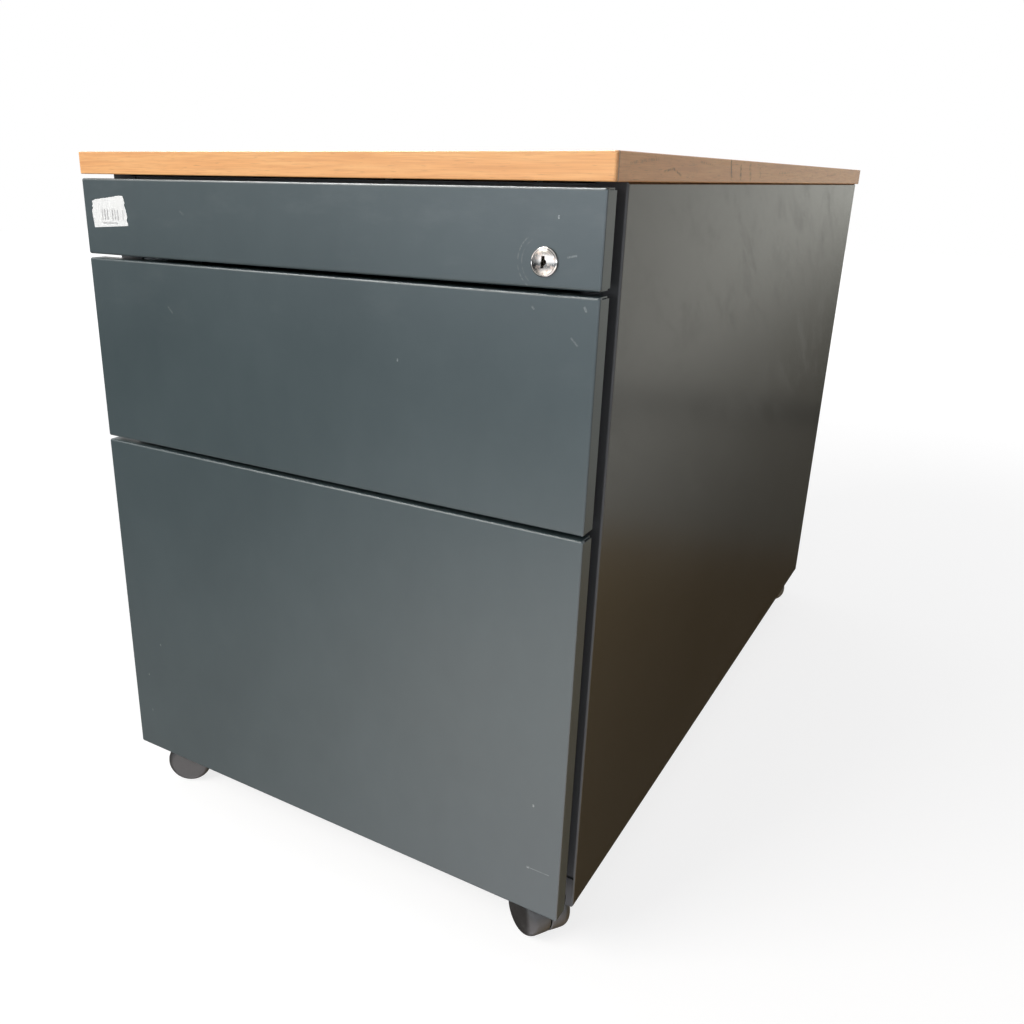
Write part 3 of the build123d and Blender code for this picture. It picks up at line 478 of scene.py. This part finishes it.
def coat(piece, finish):
    """Gives a whole piece one finish."""
    piece.data.materials.clear()
    piece.data.materials.append(finish.material)


def coat_frame():
    for row in frame["record"]["subparts"]:
        coat(NODES[row["node"]], finish_for(row["node"], row["material_slot"]))


# ---- mesh helpers
def piece_from(name, mesh, slot, body, replaces=()):
    """Finishes a bmesh as a shaded piece that rides on a body."""
    bmesh.ops.recalc_face_normals(mesh, faces=mesh.faces)
    data = bpy.data.meshes.new(name)
    mesh.to_mesh(data)
    mesh.free()
    data.shade_smooth()
    data.set_sharp_from_angle(angle=radians(32))
    piece = bpy.data.objects.new(name, data)
    bpy.context.scene.collection.objects.link(piece)
    coat(piece, FINISHES[slot])
    if replaces:
        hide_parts(*replaces)
    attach(piece, body)
    return piece


def lathe(mesh, profile, centre, axis, segments):
    """Turns a closed profile of (along, radius) points about an axis."""
    axis = Vector(axis).normalized()
    side = axis.orthogonal().normalized()
    other = axis.cross(side)
    rings = []
    for along, radius in profile:
        ring = []
        for k in range(segments):
            angle = 2 * pi * k / segments
            reach = side * cos(angle) + other * sin(angle)
            ring.append(mesh.verts.new(centre + axis * along + reach * radius))
        rings.append(ring)
    for here, ahead in zip(rings, rings[1:] + rings[:1]):
        for k in range(segments):
            j = (k + 1) % segments
            mesh.faces.new((here[k], here[j], ahead[j], ahead[k]))


def arc(centre, radius, start, end, steps):
    """Points of a profile along a circular arc, angles in degrees from the axis."""
    points = []
    for k in range(steps + 1):
        angle = radians(start + (end - start) * k / steps)
        points.append((centre[0] + radius * cos(angle), centre[1] + radius * sin(angle)))
    return points


make_camera()
coat_frame()


# ---- lock
LOCK_PROUD = LOCK_FACE - LOCK_LOW.y
BEZEL_R = (LOCK_HIGH.x - LOCK_LOW.x) / 2
LOCK_AXIS = Vector((0.0, -1.0, 0.0))
LOCK_SEGMENTS = 96
DISC_R = BEZEL_R * 0.85
BARREL_R = BEZEL_R - 0.0006
BORE_R = BARREL_R - 0.0014
THREAD_PITCH = 0.0010
THREAD_DEPTH = 0.00035
THREAD_ENDS = (0.0008, 0.0022)
DOME_STEPS = 12
DOME_FALL = 0.0009
DISC_EDGE = 0.0013
CORE_GAP = 0.0004


def lock_bezel():
    """The rounded chrome ring and the threaded barrel behind it."""
    length = LOCK_HIGH.y - LOCK_FACE
    root_r = BARREL_R - THREAD_DEPTH
    edge = LOCK_PROUD * 0.25
    rounding = LOCK_PROUD * 0.6
    seat = LOCK_PROUD * 0.40
    profile = [(0.0, BARREL_R), (0.0, BEZEL_R), (edge, BEZEL_R)]
    profile += arc((edge, BEZEL_R - rounding), rounding, 80, 20, 6)
    profile += [(LOCK_PROUD * 0.72, DISC_R + 0.00012), (seat, DISC_R + 0.00008), (seat, BORE_R)]
    profile += [(-length, BORE_R), (-length, root_r)]
    turns = int((length - sum(THREAD_ENDS)) / THREAD_PITCH)
    for k in range(turns):
        start = -length + THREAD_ENDS[0] + k * THREAD_PITCH
        profile += [(start, root_r), (start + THREAD_PITCH / 2, BARREL_R)]
    mesh = bmesh.new()
    face = Vector((LOCK_CENTRE.x, LOCK_FACE, LOCK_CENTRE.z))
    lathe(mesh, profile, face, LOCK_AXIS, LOCK_SEGMENTS)
    piece_from("lock_bezel", mesh, "chrome", "pencil_drawer", ["lock_housing"])


# Outline of the keyway, right and up from the lock's centre in millimetres.
KEYWAY = (
    (-1.15, 3.4), (1.05, 3.4), (1.15, 1.6), (2.15, 0.8), (2.25, -0.8), (1.05, -1.6),
    (0.15, -3.4), (-1.25, -3.6), (-1.05, -1.7), (-1.55, -0.6), (-1.05, 0.9),
)
KEYWAY_DEPTH = 0.012


def lock_disc():
    """The domed core with its keyway, its body and the square spigot that carries the cam."""
    low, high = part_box("lock_core")
    cam_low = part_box("lock_cam")[0]
    proud = LOCK_FACE - low.y
    body = (low + high) / 2
    centre = Vector((body.x, LOCK_FACE, body.z))
    core_r = (high.x - low.x) / 2 - CORE_GAP
    back = LOCK_FACE - cam_low.y
    seat = proud * 0.44
    profile = []
    for k in range(DOME_STEPS + 1):
        share = k / DOME_STEPS
        profile.append((proud - DOME_FALL * share**2.2, DISC_R * share))
    profile += [(proud - DISC_EDGE, DISC_R), (seat, DISC_R - 0.0001), (seat, core_r)]
    profile += [(0.0, core_r), (back, core_r), (back, 0.0)]
    mesh = bmesh.new()
    lathe(mesh, profile, centre, LOCK_AXIS, LOCK_SEGMENTS)
    bmesh.ops.remove_doubles(mesh, verts=mesh.verts, dist=1e-6)
    core = piece_from("lock_disc", mesh, "brass_core", "lock", ["lock_core"])
    cut_from(core, keyway_cutter(centre, proud))
    spigot(Vector((centre.x, cam_low.y, centre.z)))


def keyway_cutter(centre, proud):
    """The keyway's outline, drawn from in front of the disc to the keyway's depth."""
    mesh = bmesh.new()
    front = []
    for across, up in KEYWAY:
        place = centre + Vector((across / 1000, -2 * proud, up / 1000))
        front.append(mesh.verts.new(place))
    drawn = bmesh.ops.extrude_face_region(mesh, geom=[mesh.faces.new(front)])
    moved = [part for part in drawn["geom"] if isinstance(part, bmesh.types.BMVert)]
    bmesh.ops.translate(mesh, verts=moved, vec=(0.0, KEYWAY_DEPTH + 2 * proud, 0.0))
    bmesh.ops.recalc_face_normals(mesh, faces=mesh.faces)
    return mesh


def cut_from(piece, cutter_mesh):
    """Cuts a closed bmesh out of a piece for good."""
    data = bpy.data.meshes.new("cutter")
    cutter_mesh.to_mesh(data)
    cutter_mesh.free()
    cutter = bpy.data.objects.new("cutter", data)
    bpy.context.scene.collection.objects.link(cutter)
    boolean = piece.modifiers.new("cut", "BOOLEAN")
    boolean.operation = "DIFFERENCE"
    boolean.solver = "EXACT"
    boolean.object = cutter
    bpy.context.view_layer.update()
    shaped = piece.evaluated_get(bpy.context.evaluated_depsgraph_get())
    result = bpy.data.meshes.new_from_object(shaped)
    piece.modifiers.clear()
    piece.data = result
    result.set_sharp_from_angle(angle=radians(32))
    bpy.data.objects.remove(cutter)


SPIGOT_SIZE = Vector((0.0050, 0.0015, 0.0050))


def spigot(start):
    """The square end of the core, which starts at the cam's front and goes into it."""
    mesh = bmesh.new()
    bmesh.ops.create_cube(mesh, size=1.0)
    middle = start + Vector((0.0, SPIGOT_SIZE.y / 2, 0.0))
    for vert in mesh.verts:
        vert.co = middle + Vector([a * b for a, b in zip(vert.co, SPIGOT_SIZE)])
    lengthwise = []
    for edge in mesh.edges:
        run = edge.verts[0].co - edge.verts[1].co
        if abs(run.y) > SPIGOT_SIZE.y / 2:
            lengthwise.append(edge)
    bmesh.ops.bevel(mesh, geom=lengthwise, offset=0.0004, segments=3, profile=0.5, affect="EDGES")
    piece_from("lock_spigot", mesh, "zinc", "lock")


# ---- castor wheels
WHEEL_SEGMENTS = 72
# From the middle between the two wheels to a wheel's outer face.
WHEEL_OUTER = 0.0189
WEB_INSET = 0.0012
AXLE_HOLE_R = 0.0026
CROWN = 0.00005


def wheel_profile(inner, outer, radius):
    """A crowned tread, a broad rounded shoulder and a smooth, slightly domed outer face."""
    wide = outer - inner
    web = inner + WEB_INSET
    profile = [(web, AXLE_HOLE_R), (web, radius * 0.45), (inner + 0.0003, radius * 0.50)]
    profile += [(inner, radius * 0.90)]
    profile += arc((inner + 0.0010, radius - 0.0012), 0.0010, 180, 90, 4)
    profile += [(inner + wide * 0.30, radius - CROWN), (inner + wide * 0.45, radius)]
    shoulder = wide * 0.40
    profile += arc((outer - shoulder, radius - shoulder), shoulder, 90, 12, 12)
    profile += [(outer - 0.0004, radius * 0.55), (outer - 0.0001, radius * 0.30)]
    profile += [(outer, radius * 0.12), (outer, 0.0), (web, 0.0)]
    return profile


def castor_wheels():
    for joint in frame["joints"]:
        if not joint["name"].startswith("wheel_"):
            continue
        body = joint["child"]
        _, side, corner = body.split("_", 2)
        node = f"castor_wheel_{side}_{corner}"
        low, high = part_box(node)
        middle = (low + high) / 2
        hub = Vector(joint["pos_m"])
        axis = Vector(joint["axis"]).normalized()
        outward = axis if (middle - hub).dot(axis) > 0 else -axis
        radius = (high.z - low.z) / 2
        inner = 2 * (middle - hub).length - WHEEL_OUTER
        mesh = bmesh.new()
        lathe(mesh, wheel_profile(inner, WHEEL_OUTER, radius), hub, outward, WHEEL_SEGMENTS)
        bmesh.ops.remove_doubles(mesh, verts=mesh.verts, dist=1e-6)
        piece_from(f"twin_wheel_{side}_{corner}", mesh, "black_plastic", body, [node])


# ---- sticker
STICKER_SIZE = (0.0382, 0.0218)
STICKER_TILT = radians(3.4)
STICKER_STEPS = (56, 36)
# How far the torn edges stand in from the sticker's corners, as (place, inset) along each edge.
LEFT_TEAR = (
    (0.0, 0.015), (0.25, 0.01), (0.45, 0.0), (0.68, 0.0), (0.74, 0.05), (0.80, 0.01), (0.88, 0.05),
    (1.0, 0.03),
)
RIGHT_TEAR = (
    (0.0, 0.0), (0.10, 0.01), (0.20, 0.035), (0.28, 0.0), (0.62, 0.03), (0.70, 0.055), (0.76, 0.03),
    (1.0, 0.045),
)
TOP_TEAR = ((0.0, 0.12), (0.12, 0.07), (0.5, 0.04), (0.9, 0.0), (1.0, 0.03))
FRAY_SIDE = 0.004
FRAY_TOP = 0.008
PAPER_THICK = 0.00006
PAPER_INSET = 0.00008


def between(points, place):
    """The value of a line of (place, value) points at one place."""
    for (start, low), (end, high) in zip(points, points[1:]):
        if place <= end:
            return low + (high - low) * (place - start) / (end - start)
    return points[-1][1]


def sticker():
    """A torn paper sticker, slightly lifted at its free corner."""
    width, height = STICKER_SIZE
    across = Vector((cos(STICKER_TILT), 0.0, sin(STICKER_TILT)))
    up = Vector((-sin(STICKER_TILT), 0.0, cos(STICKER_TILT)))
    columns, rows = STICKER_STEPS
    mesh = bmesh.new()
    grid = []
    for j in range(rows + 1):
        t = j / rows
        line = []
        left = between(LEFT_TEAR, t) + FRAY_SIDE * sin(61 * t) * sin(23 * t)
        right = 1 - between(RIGHT_TEAR, t) - FRAY_SIDE * sin(53 * t + 1)
        for i in range(columns + 1):
            s = i / columns
            top = 1 - between(TOP_TEAR, s) - FRAY_TOP * sin(47 * s) * sin(19 * s)
            u = left + (right - left) * s
            v = t * top
            lift = 0.0028 * max(0.0, s + t - 1.72) ** 1.5 + 0.00003 * sin(9 * s + 5 * t)
            place = STICKER_CENTRE + across * (u - 0.5) * width + up * (v - 0.5) * height
            place.y = STICKER_HIGH.y - PAPER_INSET - lift
            line.append(mesh.verts.new(place))
        grid.append(line)
    for here, above in zip(grid, grid[1:]):
        for k in range(columns):
            mesh.faces.new((here[k], here[k + 1], above[k + 1], above[k]))
    bmesh.ops.solidify(mesh, geom=mesh.faces[:], thickness=PAPER_THICK)
    piece_from("torn_sticker", mesh, "paper", "pencil_drawer", ["blank_label"])


lock_bezel()
lock_disc()
castor_wheels()
sticker()


# ---- floor, light and surroundings
FLOOR_REACH = 8.0


def make_floor():
    """A pale floor that melts into the backdrop further out."""
    mesh = bmesh.new()
    bmesh.ops.create_grid(mesh, x_segments=1, y_segments=1, size=FLOOR_REACH)
    data = bpy.data.meshes.new("floor")
    mesh.to_mesh(data)
    mesh.free()
    floor = bpy.data.objects.new("floor", data)
    bpy.context.scene.collection.objects.link(floor)
    paint = Finish("pale_floor", roughness=0.95, specular_ior_level=0.0, emission_strength=1.0)
    far = paint.vector("LENGTH", paint.places, output=1).fade(0.8, 3.2)
    tone = paint.noise(paint.places, 1.5, 2.0)
    paint.feed(
        base_color=paint.blend(tone, (0.30, 0.30, 0.30), (0.33, 0.33, 0.33)),
        emission_color=paint.blend(far, (0.80, 0.80, 0.80), (1.0, 1.0, 1.0)),
    )
    coat(floor, paint)
    floor.visible_glossy = False
    floor.visible_diffuse = False


def make_light(name, place, target, size, radiance, colour=(1.0, 1.0, 1.0)):
    """A rectangular lamp of a given brightness, so that its size only changes its reach."""
    data = bpy.data.lights.new(name, "AREA")
    data.shape = "RECTANGLE"
    data.size, data.size_y = size
    data.energy = radiance * pi * size[0] * size[1]
    data.color = colour
    light = bpy.data.objects.new(name, data)
    light.location = place
    light.rotation_euler = (Vector(target) - Vector(place)).to_track_quat("-Z", "Y").to_euler()
    bpy.context.scene.collection.objects.link(light)
    return light


class Surroundings(Finish):
    """The world's own nodes, with the directions of its rays as places."""

    def __init__(self, world):
        world.use_nodes = True
        self.tree = world.node_tree
        self.shader = self.tree.nodes["Background"]
        self.places = self.node("ShaderNodeTexCoord", {}, {}, "Generated")


def make_world():
    """What the gloss mirrors is a room with a dark brown floor behind and a bright one in front;
    what lights the paint is a soft dome, weaker from the right; the camera sees plain white."""
    world = bpy.data.worlds.new("studio")
    bpy.context.scene.world = world
    room = Surroundings(world)
    x, y, z = room.axes()
    # The wall's shading follows how far a ray drops, spread by how far sideways it runs.
    side = (x / y.over(0.25)).over(0.10)
    depth = z / ((side - 0.075) * (side + 0.35))
    wall = room.ramp(depth * -0.174, (
        (0.17, (0.85, 0.85, 0.78)),
        (0.26, (0.40, 0.395, 0.355)),
        (0.34, (0.20, 0.195, 0.165)),
        (0.50, (0.100, 0.095, 0.080)),
        (0.73, (0.070, 0.064, 0.050)),
        (0.93, (0.050, 0.044, 0.033)),
    ))
    groove = (z + 0.215).size().fade(0.012, 0.004)
    skirting = room.blend(groove, (1.0, 1.0, 1.0), (0.30, 0.30, 0.30))
    brown = room.blend(z.fade(-0.325, -0.365), (1.0, 1.0, 1.0), (0.80, 0.60, 0.36))
    rear = room.vector("MULTIPLY", room.vector("MULTIPLY", wall, skirting), brown)
    rightward = (x / (y * -1.0).over(0.25)).fade(-1.0, -0.36)
    front = room.ramp(z * -1.0, (
        (0.00, (4.60, 4.80, 5.20)),
        (0.05, (3.40, 3.60, 3.90)),
        (0.12, (0.60, 0.70, 0.80)),
        (0.22, (0.22, 0.26, 0.30)),
        (0.31, (1.20, 1.25, 1.35)),
        (0.40, (3.40, 3.40, 3.50)),
        (0.50, (3.50, 3.30, 3.10)),
        (0.68, (2.20, 2.10, 2.20)),
    ))
    share = room.blend(rightward, (0.15, 0.15, 0.15), (1.22, 1.22, 1.22))
    front = room.vector("MULTIPLY", front, share)
    sky = room.ramp(z, (
        (0.00, (0.66, 0.67, 0.66)),
        (0.40, (1.10, 1.12, 1.14)),
        (1.00, (1.40, 1.40, 1.40)),
    ))
    above_rear = room.blend(z.fade(0.0, 0.15), rear, sky)
    above_front = room.blend(z.fade(0.05, 0.25), front, sky)
    mirrored = room.blend(y.fade(0.10, -0.10), above_rear, above_front)
    dome = room.blend(x.fade(-0.25, 0.35), (0.52, 0.53, 0.54), (0.24, 0.23, 0.235))
    glossy = room.node("ShaderNodeLightPath", {}, {}, "Is Glossy Ray")
    seen = room.node("ShaderNodeLightPath", {}, {}, "Is Camera Ray")
    room.feed(color=room.blend(seen, room.blend(glossy, dome, mirrored), (1.0, 1.0, 1.0)))


make_floor()
make_world()
make_light("key", (-1.5, -2.6, 2.2), (0.0, -0.4, 0.3), (1.9, 1.5), 8.5, (1.0, 0.975, 0.94))
gloss = make_light("overhead", (-0.8, -0.30, 2.2), (0.0, -0.35, 0.45), (1.1, 1.3), 30.0)
gloss.visible_diffuse = False
bpy.context.scene.view_settings.view_transform = "Standard"
